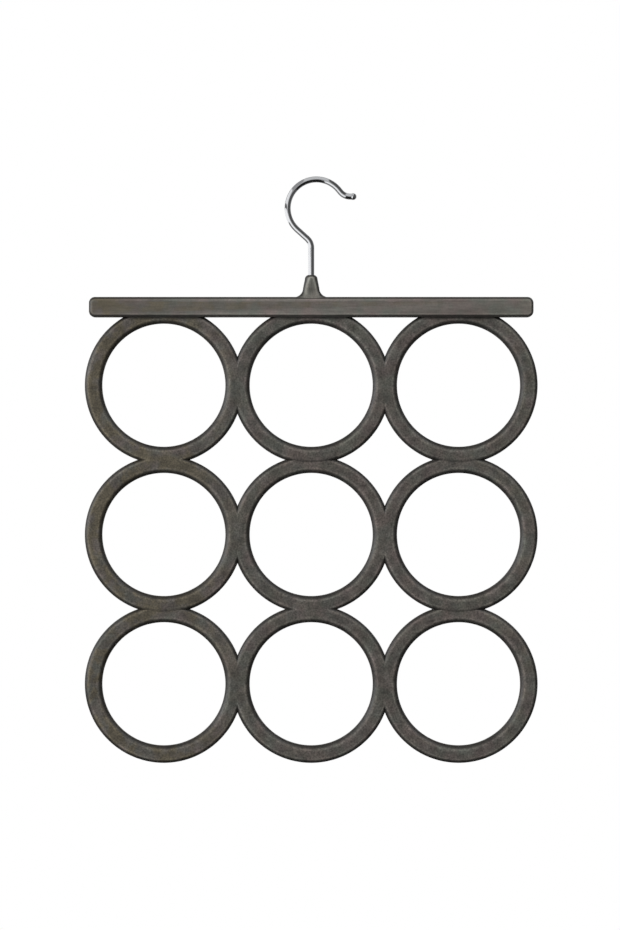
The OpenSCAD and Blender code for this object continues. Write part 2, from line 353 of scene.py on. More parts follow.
@dataclass(frozen=True)
class Noise:
    """A noise.

    Attributes:
        size: Size of its patches, in millimetres.
        detail: Number of its finer layers.
        rough: Share of the finer layers.
    """

    size: float
    detail: float
    rough: float = 0.5


class NodeTree:
    """The node tree of a material or a world, with short calls for the nodes used here."""

    def __init__(self, owner: bpy.types.Material | bpy.types.World) -> None:
        """Starts with an empty tree."""
        owner.use_nodes = True
        self.tree = owner.node_tree
        self.tree.nodes.clear()

    def node(self, kind: str, **settings: str) -> bpy.types.Node:
        """Adds a node.

        Args:
            kind: Kind of the node, as the program names it.
            settings: Names and values of the settings that aren't sockets.

        Returns:
            The node.
        """
        step = self.tree.nodes.new(kind)
        for name, value in settings.items():
            setattr(step, name, value)
        return step

    def put(self, target: Socket, value: Feed) -> None:
        """Links an input to another socket, or sets it to a fixed value."""
        if isinstance(value, Socket):
            self.tree.links.new(value, target)
        else:
            target.default_value = (*value, 1) if target.type == "RGBA" else value

    def feed(self, step: bpy.types.Node, *values: Feed, **named: Feed) -> bpy.types.Node:
        """Feeds the inputs of a node.

        Args:
            step: Node to feed.
            values: What goes into its first inputs, each a socket or fixed.
            named: Names of inputs, with _ for a space, and what goes into them.

        Returns:
            The node.
        """
        for target, value in zip(step.inputs, values):
            self.put(target, value)
        for name, value in named.items():
            self.put(step.inputs[name.replace("_", " ")], value)
        return step

    def math(self, operation: str, *values: Feed) -> Socket:
        """Joins one or two values by a Math node."""
        return self.feed(self.node("ShaderNodeMath", operation=operation), *values).outputs["Value"]

    def product(self, first: Socket, *others: Feed) -> Socket:
        """Multiplies a value by others, in turn."""
        for other in others:
            first = self.math("MULTIPLY", first, other)
        return first

    def vector_math(self, operation: str, *values: Feed, **named: Feed) -> bpy.types.Node:
        """Adds a Vector Math node and feeds its inputs."""
        return self.feed(self.node("ShaderNodeVectorMath", operation=operation), *values, **named)

    def scaled(self, vector: Socket, by: Point) -> Socket:
        """Multiplies a vector, by one factor for each of its parts."""
        return self.vector_math("MULTIPLY", vector, by).outputs["Vector"]

    def shaded(self, colour: Socket, by: Socket) -> Socket:
        """Multiplies a colour by a value."""
        return self.vector_math("SCALE", colour, Scale=by).outputs["Vector"]

    def added(self, a: Socket, b: Socket) -> Socket:
        """Adds two vectors, or a value to each part of a vector."""
        return self.vector_math("ADD", a, b).outputs["Vector"]

    def outward(self, vector: Socket, reach: float) -> Socket:
        """Gives the direction away from the Y axis the length reach."""
        way = self.vector_math("NORMALIZE", self.scaled(vector, (1, 0, 1)))
        return self.scaled(way.outputs["Vector"], (reach, reach, reach))

    def radius(self, vector: Socket) -> Socket:
        """Returns the distance from the Y axis."""
        return self.vector_math("LENGTH", self.scaled(vector, (1, 0, 1))).outputs["Value"]

    def noise(self, vector: Socket, noise: Noise) -> Socket:
        """Adds a noise.

        Args:
            vector: Place that the noise is read at, in millimetres.
            noise: Size and layers of the noise.

        Returns:
            The noise, from 0 to 1.
        """
        step = self.feed(
            self.node("ShaderNodeTexNoise"),
            Vector=vector,
            Scale=1 / noise.size,
            Detail=noise.detail,
            Roughness=noise.rough,
        )
        return step.outputs["Fac"]

    def ranged(self, value: Socket, source: Range, target: Range) -> Socket:
        """Maps a value from one range to another, and clamps it there.

        Args:
            value: Value to map.
            source: Range it is mapped from.
            target: Range it is mapped to.

        Returns:
            The mapped value.
        """
        return self.feed(self.node("ShaderNodeMapRange"), value, *source, *target).outputs["Result"]

    def mixed(self, share: Socket, first: Socket | Colour, second: Socket | Colour) -> Socket:
        """Mixes two colours.

        Args:
            share: Share of the second colour.
            first: First colour, a socket or fixed.
            second: Second colour, a socket or fixed.

        Returns:
            The mixed colour.
        """
        step = self.feed(self.node("ShaderNodeMix", data_type="RGBA"), share)
        colours = [socket for socket in step.inputs if socket.type == "RGBA"]
        for target, colour in zip(colours, (first, second)):
            self.put(target, colour)
        return next(socket for socket in step.outputs if socket.type == "RGBA")

    def curve(self, value: Socket, stops: Stops) -> Socket:
        """Reads a value off a curve through some stops.

        Args:
            value: Value from 0 to 1.
            stops: Places on the curve and the values there, which lie between 0 and 2.

        Returns:
            The value that the curve gives.
        """
        step = self.feed(self.node("ShaderNodeValToRGB"), value)
        ramp = step.color_ramp
        ramp.interpolation = "LINEAR"
        while len(ramp.elements) < len(stops):
            ramp.elements.new(1.0)
        for element, (at, height) in zip(ramp.elements, stops):
            element.position = at
            element.color = (height / 2, height / 2, height / 2, 1)
        return self.product(step.outputs["Color"], 2.0)

    def attribute(self, name: str, output: str = "Fac") -> Socket:
        """Reads a named attribute of the piece's points."""
        return self.node("ShaderNodeAttribute", attribute_name=name).outputs[output]

    def coordinates(self, kind: str) -> Socket:
        """Reads the piece's own coordinates of one kind."""
        return self.node("ShaderNodeTexCoord").outputs[kind]

    def facing_y(self) -> Socket:
        """Returns 1 where the piece faces front or rear, and 0 on its edges."""
        parts = self.feed(self.node("ShaderNodeSeparateXYZ"), self.coordinates("Normal"))
        return self.math("ABSOLUTE", parts.outputs["Y"])

    def place_in_mm(self) -> Socket:
        """Returns the place on the piece, in millimetres from its origin."""
        return self.scaled(self.coordinates("Object"), (1 / MM, 1 / MM, 1 / MM))


class Shader(NodeTree):
    """The node tree of a material with one Principled shader."""

    def __init__(self, name: str) -> None:
        """Starts a material of that name."""
        self.material = bpy.data.materials.new(name)
        super().__init__(self.material)
        self.principled = self.node("ShaderNodeBsdfPrincipled")
        self.feed(self.node("ShaderNodeOutputMaterial"), Surface=self.principled.outputs["BSDF"])

    def take(self, **named: Feed) -> None:
        """Links or sets the Principled shader's own sockets, named with _ for a space."""
        self.feed(self.principled, **named)

    def bump(self, height: Socket, depth: float) -> None:
        """Bumps the shader's normal.

        Args:
            height: Height of the relief, from 0 to 1.
            depth: Depth of the relief, in metres.
        """
        step = self.feed(self.node("ShaderNodeBump"), Distance=depth, Height=height)
        self.take(Normal=step.outputs["Normal"])


@dataclass(frozen=True)
class Drift:
    """Slow change of the nap from the left to the right of the hanger.

    Attributes:
        rows: Places from the middle in millimetres, each with the values there.
        names: Names of the values, which a material reads.
    """

    rows: tuple[tuple[float, float, float], ...]
    names: tuple[str, str] = ("tone", "olive")

    def at(self, x: float, name: str) -> float:
        """Reads one of the values at one place.

        Args:
            x: Place from the hanger's middle, in millimetres.
            name: Name of the value.

        Returns:
            The value, in a straight line between the rows.
        """
        column = self.names.index(name) + 1
        value = self.rows[0][column]
        for before, after in zip(self.rows, self.rows[1:]):
            share = clamped((x - before[0]) / (after[0] - before[0]))
            value += (after[column] - before[column]) * share
        return value

    def mark(self, mesh: bpy.types.Mesh, origin: Vector) -> None:
        """Tells a mesh where it stands on the hanger, and gives each of its points its values.

        Args:
            mesh: Mesh to mark, whose points are given from an origin of its own.
            origin: Place of that origin.
        """
        mark_spot(mesh, origin)
        for name in self.names:
            mark(mesh, name, lambda spot, name=name: self.at((spot.x + origin.x) / MM, name))


@dataclass(frozen=True)
class NapFinish:
    """Short flocked nap: mottled, brushed in one direction, with painted shade along the edges and
    a painted highlight just inside them.
    """

    name: str
    brushing: Brushing
    cool: Colour = (0.0700, 0.0714, 0.0624)
    warm: Colour = (0.0862, 0.0714, 0.0660)
    olive: Colour = (0.0800, 0.0683, 0.0468)
    # Painted edge shade and highlight: factors on the colour by how far the surface faces front or
    # rear, below 1 on the edges and above 1 just inside them.
    edge_shade_and_highlight_stops: Stops = (
        (0.00, 1.00),
        (0.25, 0.72),
        (0.50, 0.31),
        (0.70, 0.26),
        (0.80, 0.34),
        (0.88, 0.62),
        (0.94, 1.16),
        (0.98, 1.58),
        (0.993, 1.26),
        (0.999, 1.00),
    )
    streaks: Noise = Noise(0.9, 4, 0.62)
    streak_share: float = 0.20
    streak_relief: float = 0.6
    grain: Noise = Noise(1.2, 2, 0.6)
    grain_share: float = 0.90
    mottle: Noise = Noise(6.0, 4, 0.6)
    mottle_share: float = 0.74
    fibres: Noise = Noise(0.35, 2, 0.6)
    fibre_share: float = 0.24
    fibre_depth: float = 0.05 * MM
    noise_range: Range = (0.28, 0.72)
    hue: Noise = Noise(11.0, 3)
    hue_range: Range = (0.34, 0.66)
    patches: Noise = Noise(9.0, 2)
    patch_range: Range = (0.40, 0.60)
    patch_span: Range = (0.2, 1.8)
    roughness: Range = (0.41, 0.53)
    rough_range: Range = (0.3, 0.7)
    specular: float = 0.30
    round_reach: float = 6.0
    along_stretch: Point = (0.08, 1, 1)
    upright_stretch: Point = (1, 1, 0.12)

    def brushed(self, shader: Shader, at: Socket) -> Socket:
        """Stretches the place on the piece along the brushing.

        Args:
            shader: Shader that the nodes go to.
            at: Place on the piece, in millimetres.

        Returns:
            The stretched place.
        """
        if self.brushing is Brushing.ROUND:
            return shader.added(shader.outward(at, self.round_reach), shader.radius(at))
        along = self.brushing is Brushing.ALONG
        return shader.scaled(at, self.along_stretch if along else self.upright_stretch)

    def around_one(self, shader: Shader, noise: Socket, share: float) -> Socket:
        """Turns a noise into a factor around 1.

        Args:
            shader: Shader that the nodes go to.
            noise: Noise from 0 to 1.
            share: Distance between the lowest and the highest factor.

        Returns:
            The factor.
        """
        return shader.ranged(noise, self.noise_range, (1 - share / 2, 1 + share / 2))

    def build(self) -> bpy.types.Material:
        """Builds the material."""
        shader = Shader(self.name)
        at = shader.place_in_mm()
        spot = shader.attribute("spot", "Vector")
        on_hanger = shader.added(at, spot)
        streaks = shader.noise(shader.added(self.brushed(shader, at), spot), self.streaks)
        mottle = shader.noise(on_hanger, self.mottle)
        grain = shader.noise(on_hanger, self.grain)
        fibres = shader.noise(at, self.fibres)
        hue = shader.ranged(shader.noise(on_hanger, self.hue), self.hue_range, (0, 1))
        patches = shader.noise(on_hanger, self.patches)
        patches = shader.ranged(patches, self.patch_range, self.patch_span)
        olive = shader.product(shader.attribute("olive"), patches)
        colour = shader.mixed(olive, shader.mixed(hue, self.cool, self.warm), self.olive)
        # The attribute tone holds painted shade of the joints, the bar's corner and the neck's
        # foot, and the curve holds the painted edge shade and highlight.
        tone = shader.product(
            self.around_one(shader, streaks, self.streak_share),
            self.around_one(shader, mottle, self.mottle_share),
            self.around_one(shader, grain, self.grain_share),
            self.around_one(shader, fibres, self.fibre_share),
            shader.attribute("tone"),
            shader.curve(shader.facing_y(), self.edge_shade_and_highlight_stops),
        )
        shader.take(
            Base_Color=shader.shaded(colour, tone),
            Roughness=shader.ranged(streaks, self.rough_range, self.roughness),
            Specular_IOR_Level=self.specular,
        )
        relief = shader.math("ADD", fibres, shader.product(streaks, self.streak_relief))
        shader.bump(relief, self.fibre_depth)
        return shader.material


@dataclass(frozen=True)
class ChromeFinish:
    """Bright chrome plate with a faint haze and hairlines."""

    name: str = "hook_chrome"
    colour: Colour = (0.80, 0.81, 0.83)
    roughness: Range = (0.055, 0.105)
    haze: Noise = Noise(5.0, 3)
    haze_range: Range = (0.35, 0.75)
    hairlines: Noise = Noise(0.25, 2)
    hairline_stretch: Point = (1, 1, 0.1)
    hairline_depth: float = 0.0006 * MM

    def build(self) -> bpy.types.Material:
        """Builds the material."""
        shader = Shader(self.name)
        at = shader.place_in_mm()
        haze = shader.ranged(shader.noise(at, self.haze), self.haze_range, self.roughness)
        shader.take(Base_Color=self.colour, Metallic=1.0, Roughness=haze)
        hairlines = shader.noise(shader.scaled(at, self.hairline_stretch), self.hairlines)
        shader.bump(hairlines, self.hairline_depth)
        return shader.material


@dataclass(frozen=True)
class PlainFinish:
    """Plain material of a hidden piece, with a fine grain."""

    name: str
    colour: Colour
    roughness: float
    metallic: float = 0.0
    grain: Noise = Noise(0.6, 3)
    grain_share: float = 0.12
    grain_depth: float = 0.01 * MM
    rough_range: Range = (0.3, 0.7)
    rough_play: float = 0.06

    def build(self) -> bpy.types.Material:
        """Builds the material."""
        shader = Shader(self.name)
        grain = shader.noise(shader.place_in_mm(), self.grain)
        dark = tuple(part * (1 - self.grain_share) for part in self.colour)
        rough = (self.roughness - self.rough_play, self.roughness + self.rough_play)
        shader.take(
            Base_Color=shader.mixed(grain, dark, self.colour),
            Metallic=self.metallic,
            Roughness=shader.ranged(grain, self.rough_range, rough),
        )
        shader.bump(grain, self.grain_depth)
        return shader.material


@dataclass(frozen=True)
class Neighbours:
    """The sides on which one ring of the grid meets another."""

    left: bool
    right: bool
    above: bool
    below: bool

    def directions(self) -> list[tuple[float, bool]]:
        """Lists the directions of the neighbours and whether each is in the same row."""
        sides = (
            (0.0, True, self.right),
            (math.pi / 2, False, self.above),
            (math.pi, True, self.left),
            (3 * math.pi / 2, False, self.below),
        )
        return [(angle, same_row) for angle, same_row, there in sides if there]


@dataclass
class RingGrid:
    """The nine rings: three rows of three, each ring notched for the one above it."""

    finish: bpy.types.Material
    edge: float = 2.4 * MM
    bore_edge: float = 3.0 * MM
    turns: int = 240
    edge_steps: int = 6
    face_steps: int = 12
    wall_steps: int = 4
    halvings: int = 30
    crease_angle: float = 32.0
    crown: float = 0.9 * MM
    crown_w: float = 4.0 * MM
    bore_crown: float = 1.15 * MM
    bore_crown_w: float = 5.0 * MM
    seam_depth: float = 2.0 * MM
    # Painted shade along the grooves of the joints between rows.
    seam_reach: float = 0.9 * MM
    seam_painted_shade: float = 0.75
    # Painted contact shadow under the bar on the top rings.
    corner_shadow_reach: float = 2.2 * MM
    corner_painted_shadow: float = 0.85
    seam_widths: dict[tuple[Column, Row], float] = field(
        default_factory=lambda: {
            (Column.MIDDLE, Row.CENTRE): 0.80 * MM,
            (Column.RIGHT, Row.CENTRE): 0.70 * MM,
            (Column.LEFT, Row.BOTTOM): 0.60 * MM,
            (Column.RIGHT, Row.BOTTOM): 0.80 * MM,
        }
    )
    # The rings' tone rises from left to right as painted light that evens out the key lamp's
    # falloff across the grid.
    drift: Drift = Drift(
        (
            (-148, 0.95, 0.80),
            (-85, 0.97, 0.50),
            (-50, 1.00, 0.14),
            (60, 1.02, 0.08),
            (148, 1.07, 0.18),
        )
    )

    def __post_init__(self) -> None:
        """Reads the rings' sizes from the frame."""
        node = self.node(Column.LEFT, Row.TOP)
        box = NodeBox.of(node)
        self.radius = box.span.z / 2
        self.half_d = box.span.y / 2
        mounts = {mount["name"]: mount for mount in frame["record"]["mounts"]}
        self.bore = mounts[node + "_hole"]["dims"]["r_mm"] * MM
        middle = self.middle(Column.LEFT, Row.TOP)
        self.pitch_x = 2 * (box.high.x - middle.x)
        self.pitch_z = middle.z - self.middle(Column.LEFT, Row.CENTRE).z

    @staticmethod
    def node(column: Column, row: Row) -> str:
        """Returns the name of a ring's node."""
        return f"ring_{row.name.lower()}_{column.name.lower()}"

    def middle(self, column: Column, row: Row) -> Vector:
        """Finds a ring's middle from the sides of its box that nothing cuts.

        Args:
            column: Column of the ring.
            row: Row of the ring.

        Returns:
            The middle, in the frame.
        """
        box = NodeBox.of(self.node(column, row))
        across = {
            Column.LEFT: box.low.x + self.radius,
            Column.MIDDLE: box.middle.x,
            Column.RIGHT: box.high.x - self.radius,
        }
        return Vector((across[column], 0, box.low.z + self.radius))

    def edge_reach(self, depth: float) -> float:
        """Returns how far a ring's rounded outline reaches at a distance from its mid-plane."""
        flat = self.half_d - self.edge
        over = max(abs(depth) - flat, 0)
        return self.radius - self.edge + math.sqrt(max(self.edge**2 - over**2, 0))

    def limit(self, angle: float, depth: float, beside: Neighbours, seam: float) -> float:
        """Finds how far a ring may reach before it meets its neighbours.

        Args:
            angle: Direction from the ring's middle, from +X towards +Z.
            depth: Distance from the ring's mid-plane.
            beside: Neighbours of the ring.
            seam: Width of the groove under the ring above.

        Returns:
            The largest radius in that direction.
        """
        reach = 2 * self.radius
        along = math.cos(angle)
        if (beside.right and along > 0) or (beside.left and along < 0):
            reach = min(reach, self.pitch_x / 2 / abs(along))
        if beside.above and math.sin(angle) > 0:
            notch = self.edge_reach(depth)
            if abs(depth) > self.half_d - self.seam_depth:
                notch += seam
            off = self.pitch_z * along
            if abs(off) < notch:
                near = self.pitch_z * math.sin(angle) - math.sqrt(notch**2 - off**2)
                reach = min(reach, near)
        return reach

    def crown_share(self, angle: float, beside: Neighbours) -> float:
        """Tells how far the outer edge is crowned, which it isn't where rings meet.

        Args:
            angle: Direction from the ring's middle.
            beside: Neighbours of the ring.

        Returns:
            The share, from 0 in a joint to 1 clear of it.
        """
        share = 1.0
        for direction, same_row in beside.directions():
            half_pitch = (self.pitch_x if same_row else self.pitch_z) / 2
            off = abs((angle - direction + math.pi) % (2 * math.pi) - math.pi)
            met = math.acos(half_pitch / (self.radius - self.edge))
            clear = math.acos(half_pitch / self.radius)
            here = clamped((off - met) / (clear - met))
            share = min(share, here * here * (3 - 2 * here))
        return share

    def crowned(self, r: float, depth: float, outer_share: float) -> float:
        """Lowers a point of the section towards the ring's free edges.

        Args:
            r: Radius of the point.
            depth: Distance of the point from the mid-plane.
            outer_share: Share of the crown that the outer edge has.

        Returns:
            The lowered distance from the mid-plane.
        """
        inner = self.bore_crown * fade(r - self.bore, self.bore_crown_w) ** 2
        outer = self.crown * fade(self.radius - r, self.crown_w) ** 2 * outer_share
        return depth * (1 - (inner + outer) / self.half_d)

    def half_section(
        self, allowed: Callable[[float], float], outer_share: float
    ) -> list[tuple[float, float]]:
        """Makes the front half of a ring's section in one direction.

        Args:
            allowed: Largest radius at a distance from the mid-plane.
            outer_share: Share of the crown that the outer edge has.

        Returns:
            Points from the hole's wall to the outer wall, each with its radius and its
            distance from the mid-plane.
        """
        bore_flat = self.half_d - self.bore_edge
        points = [(self.bore, 0.0)]
        for a in arc(0, 90, self.edge_steps):
            r = self.bore + self.bore_edge * (1 - math.cos(a))
            points.append((r, bore_flat + self.bore_edge * math.sin(a)))
        face_end = min(self.radius - self.edge, allowed(self.half_d))
        points += [(r, self.half_d) for r in spread(points[-1][0], face_end, self.face_steps)[1:]]
        turn = self.last_turn(allowed)
        for share in spread(0, 1, self.edge_steps)[1:]:
            r, depth = self.edge_point(turn * share)
            points.append((min(r, allowed(depth)), depth))
        for depth in spread(points[-1][1], 0, self.wall_steps)[1:]:
            points.append((min(self.radius, allowed(depth)), depth))
        return [(r, self.crowned(r, depth, outer_share)) for r, depth in points]

    def edge_point(self, a: float) -> tuple[float, float]:
        """Finds a point on the rounded outer edge.

        Args:
            a: Turn from the face towards the wall, in radians.

        Returns:
            The point's radius and its distance from the mid-plane.
        """
        r = self.radius - self.edge + self.edge * math.sin(a)
        return r, self.half_d - self.edge + self.edge * math.cos(a)

    def last_turn(self, allowed: Callable[[float], float]) -> float:
        """Finds how far a ring's outer edge turns before a neighbour cuts it off.

        Args:
            allowed: Largest radius at a distance from the mid-plane.

        Returns:
            The turn in radians, from 0 on the face to a right angle on the wall.
        """

        def over(a: float) -> bool:
            """Tells whether the edge goes past what is allowed at this turn."""
            r, depth = self.edge_point(a)
            return r > allowed(depth)

        low, high = 0.0, math.pi / 2
        if not over(high):
            return high
        if over(low):
            return low
        for _ in range(self.halvings):
            middle = (low + high) / 2
            low, high = (low, middle) if over(middle) else (middle, high)
        return low

    def directions(self, beside: Neighbours) -> list[float]:
        """Lists the directions that a ring has a section in.

        Args:
            beside: Neighbours of the ring.

        Returns:
            Even directions, the nearest ones moved to the cusps, in radians.
        """
        turn = 2 * math.pi
        angles = [turn * i / self.turns for i in range(self.turns)]
        cusps: list[float] = []
        side = math.acos(self.pitch_x / 2 / self.radius)
        side_face = math.acos(self.pitch_x / 2 / (self.radius - self.edge))
        for off in (side, side_face):
            if beside.right:
                cusps += [off, -off]
            if beside.left:
                cusps += [math.pi - off, math.pi + off]
        if beside.above:
            up = math.acos(self.pitch_z / 2 / self.radius)
            cusps += [math.pi / 2 - up, math.pi / 2 + up]
        for cusp in cusps:
            angles[round(cusp % turn / (turn / self.turns)) % self.turns] = cusp % turn
        return sorted(angles)

    def paint_joint_shade(self, mesh: bpy.types.Mesh, seam: float, above: float) -> None:
        """Paints shade onto the nap in the groove along the joint of a ring with the one above or
        below it.

        Args:
            mesh: Mesh of the ring, with its attribute tone.
            seam: Width of the groove in the joint, which is 0 where the joint doesn't show.
            above: How far over the ring's middle the middle of the joint's upper ring is.
        """
        if not seam:
            return
        line = self.radius - self.edge + seam / 2
        half_w = math.sqrt(self.radius**2 - (self.pitch_z / 2) ** 2)

        def share_at(spot: Vector) -> float:
            """Returns the share that is taken away, which is 0 clear of the joint."""
            if abs(spot.x) >= half_w or spot.z >= above:
                return 0.0
            off = abs(math.hypot(spot.x, spot.z - above) - line)
            return self.seam_painted_shade * fade(off, self.seam_reach)

        paint_shade(mesh, share_at)

    def paint_corner_shadow(self, mesh: bpy.types.Mesh, foot: float) -> None:
        """Paints a contact shadow onto the nap in the corner between a top ring and the bar's
        underside.

        Args:
            mesh: Mesh of the ring, with its attribute tone.
            foot: How far over the ring's middle the bar's underside is.
        """
        paint_shade(
            mesh,
            lambda spot: self.corner_painted_shadow * fade(max(foot - spot.z, 0), self.corner_shadow_reach),
        )

    def ring(self, column: Column, row: Row) -> bpy.types.Object:
        """Builds one ring.

        Args:
            column: Column of the ring.
            row: Row of the ring.

        Returns:
            The ring's object.
        """
        beside = Neighbours(
            left=column is not Column.LEFT,
            right=column is not Column.RIGHT,
            above=row is not Row.TOP,
            below=row is not Row.BOTTOM,
        )
        seam = self.seam_widths.get((column, row), 0.0)
        middle = self.middle(column, row)
        loops: list[list[Point]] = []
        for angle in self.directions(beside):
            half = self.half_section(
                lambda depth, a=angle: self.limit(a, depth, beside, seam),
                self.crown_share(angle, beside),
            )
            section = [(r, -depth) for r, depth in half] + half[-2:0:-1]
            loops.append([(r * math.cos(angle), y, r * math.sin(angle)) for r, y in section])
        mesh = LoopSkin(loops, joined=True).mesh(self.node(column, row) + "_nap")
        dress(mesh, self.finish, self.crease_angle)
        self.drift.mark(mesh, middle)
        # Painted shade along the joints, and painted shadow under the bar on the top rings.
        self.paint_joint_shade(mesh, seam, self.pitch_z)
        if beside.below:
            seam_below = self.seam_widths.get((column, Row(row.value + 1)), 0.0)
            self.paint_joint_shade(mesh, seam_below, 0.0)
        if row is Row.TOP:
            self.paint_corner_shadow(mesh, NodeBox.of("bar_front_shell").low.z - middle.z)
        return place(mesh, middle)

    def build(self) -> None:
        """Builds the nine rings."""
        for row in Row:
            for column in Column:
                ring = self.ring(column, row)
                hand_over(ring, HANGER_BODY, NAP_SLOT, self.node(column, row))


@dataclass
class Bar:
    """The hollow bar, made of a front and a rear shell that meet at a fine seam."""

    finish: bpy.types.Material
    grid: RingGrid
    corner: float = 4.0 * MM
    edge: float = 2.0 * MM
    seam: float = 0.12 * MM
    seat_gap: float = 0.1 * MM
    crown: float = 0.7 * MM
    crown_w: float = 3.2 * MM
    crown_steps: int = 5
    corner_steps: int = 14
    edge_steps: int = 8
    straight_steps: int = 90
    end_steps: int = 6
    side_steps: int = 3
    socket_sides: int = 256
    cut_weld: float = 1e-6
    crease_angle: float = 32.0
    drift: Drift = Drift(
        (
            (-148, 1.19, 0.60),
            (-130, 1.27, 0.38),
            (-108, 1.38, 0.06),
            (-85, 1.58, 0.0),
            (-40, 1.90, 0.0),
            (40, 1.72, 0.0),
            (90, 1.34, 0.05),
            (148, 1.88, 0.10),
        )
    )

    def __post_init__(self) -> None:
        """Reads the bar's sizes from the frame."""
        self.box = NodeBox.of("bar_front_shell")
        self.half_d = NodeBox.of("bar_rear_shell").high.y
        self.half_w = self.box.span.x / 2
        self.height = self.box.span.z
        self.middle = Vector((self.box.middle.x, 0, self.box.middle.z))

    def outline(self, inset: float) -> list[tuple[float, float]]:
        """Makes the bar's outline, seen from the front.

        Args:
            inset: Distance that the outline is drawn in by.

        Returns:
            Points with x and z from the bar's middle.
        """
        half_w = self.half_w - inset
        half_h = self.height / 2 - inset
        r = self.corner - inset
        points: list[tuple[float, float]] = []
        corners = ((1, 1, 0), (-1, 1, 90), (-1, -1, 180), (1, -1, 270))
        for i, (sx, sz, turn) in enumerate(corners):
            x, z = sx * (half_w - r), sz * (half_h - r)
            points += [
                (x + r * math.cos(a), z + r * math.sin(a))
                for a in arc(turn, turn + 90, self.corner_steps)
            ]
            last = points[-1]
            nx, nz, next_turn = corners[(i + 1) % 4]
            a = math.radians(next_turn)
            goal = (nx * (half_w - r) + r * math.cos(a), nz * (half_h - r) + r * math.sin(a))
            steps = self.straight_steps if sz == nz else self.end_steps
            for share in spread(0, 1, steps)[1:-1]:
                points.append(tuple(p + (q - p) * share for p, q in zip(last, goal)))
        return points

    def shell(self, side: Side, name: str) -> bpy.types.Object:
        """Builds one shell.

        Args:
            side: Side that the shell is on.
            name: Name of the piece.

        Returns:
            The shell's object.
        """
        levels = [(0.0, self.seam), (self.seam, 0.0)]
        flat = self.half_d - self.edge
        levels += [(y, 0.0) for y in spread(self.seam, flat, self.side_steps)[1:]]
        for a in arc(0, 90, self.edge_steps)[1:]:
            levels.append((flat + self.edge * math.sin(a), self.edge * (1 - math.cos(a))))
        insets = spread(self.edge, self.crown_w, self.crown_steps)[1:]
        levels += [(self.half_d, inset) for inset in insets]
        loops = [
            [(x, side.value * self.crowned(y, inset), z) for x, z in self.outline(inset)]
            for y, inset in levels
        ]
        mesh = LoopSkin(loops).mesh(name)
        shell = place(mesh, self.middle)
        cut(shell, self.sockets())
        tidy_mesh(shell.data, self.cut_weld)
        dress(shell.data, self.finish, self.crease_angle)
        self.drift.mark(shell.data, self.middle)
        return shell

    def crowned(self, depth: float, inset: float) -> float:
        """Returns the depth of a point, lowered towards the face's edges."""
        return depth - depth / self.half_d * self.crown * fade(inset, self.crown_w) ** 2

    def sockets(self) -> list[bpy.types.Object]:
        """Makes the cutters of the sockets for the top rings."""
        return [
            drum(
                f"socket_{column.name.lower()}",
                self.grid.middle(column, Row.TOP),
                self.grid.radius + self.seat_gap,
                self.grid.half_d + self.seat_gap,
                self.socket_sides,
            )
            for column in Column
        ]

    def build(self) -> None:
        """Builds both shells."""
        for side, node in ((Side.FRONT, "bar_front_shell"), (Side.REAR, "bar_rear_shell")):
            hand_over(self.shell(side, node + "_nap"), HANGER_BODY, NAP_SLOT, node)


